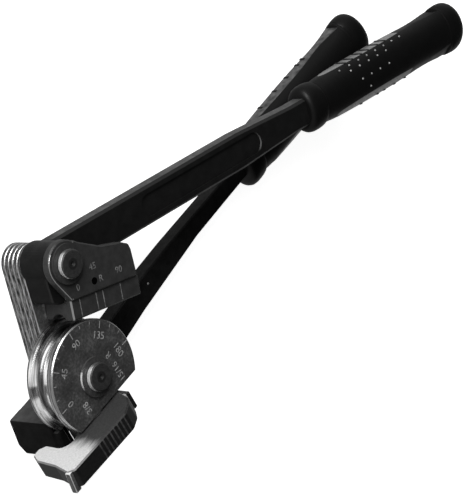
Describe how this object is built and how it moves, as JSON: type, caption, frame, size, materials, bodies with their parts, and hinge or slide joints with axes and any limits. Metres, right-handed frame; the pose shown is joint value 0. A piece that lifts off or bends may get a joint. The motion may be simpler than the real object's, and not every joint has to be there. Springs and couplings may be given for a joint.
{
  "type": "tube bender",
  "caption": "Hand lever tube bender: a grooved bending form on one long handle, a forming shoe and second handle on a swinging link, and a hook latch that holds the tube.",
  "frame": {"origin": "on the form pivot axis, at the middle of the flat tail end of the form pivot pin; the back of the head block, which the tool rests on, is 10.6 mm lower", "axes": "+X from the form pivot towards the grips, +Y across towards the forming shoe's side, +Z out of the bending form's face, parallel to both main pivots"},
  "size_m": [0.3549, 0.1026, 0.0553],
  "materials": {
    "satin_steel": "satin ground steel",
    "bright_steel": "bright plated steel",
    "dark_steel": "dark finished forging, satin",
    "black_oxide": "black oxide",
    "bronze": "sintered bronze",
    "dull_steel": "dull cast steel",
    "grip_vinyl": "moulded black vinyl"
  },
  "bodies": {
    "base": {"form_handle": "dark_steel", "form": "satin_steel", "form_screw_1": "black_oxide", "form_screw_2": "black_oxide", "form_pivot_pin": "bright_steel", "form_pin_washer": "satin_steel", "form_pin_clip": "black_oxide", "form_grip": "grip_vinyl", "latch_pivot_screw": "black_oxide", "latch_washer": "satin_steel"},
    "link": {"link_plate_1": "bright_steel", "link_plate_2": "bright_steel", "link_plate_3": "bright_steel", "link_plate_4": "bright_steel", "link_plate_5": "bright_steel", "link_bush_form": "bronze", "link_bush_shoe": "bronze", "shoe_pivot_pin": "bright_steel", "shoe_pin_washer": "satin_steel", "shoe_pin_clip": "black_oxide"},
    "forming_shoe": {"shoe": "dull_steel"},
    "upper_handle": {"shoe_handle": "dark_steel", "shoe_grip": "grip_vinyl"},
    "hook_latch": {"latch": "dull_steel"}
  },
  "joints": [
    {"name": "link_swing", "type": "hinge", "parent": "base", "child": "link", "pos_m": [0, 0, 0], "axis": [0, 0, 1], "range_deg": [-67, 107]},
    {"name": "shoe_tilt", "type": "hinge", "parent": "link", "child": "forming_shoe", "pos_m": [0.01511, 0.0485, 0], "axis": [0, 0, 1], "range_deg": [-5, 5]},
    {"name": "shoe_handle_swing", "type": "hinge", "parent": "link", "child": "upper_handle", "pos_m": [0.01511, 0.0485, 0], "axis": [0, 0, 1], "range_deg": [0, 95]},
    {"name": "latch_swing", "type": "hinge", "parent": "base", "child": "hook_latch", "pos_m": [-0.008, 0, 0.0254], "axis": [0, 1, 0], "range_deg": [0, 90]}
  ]
}
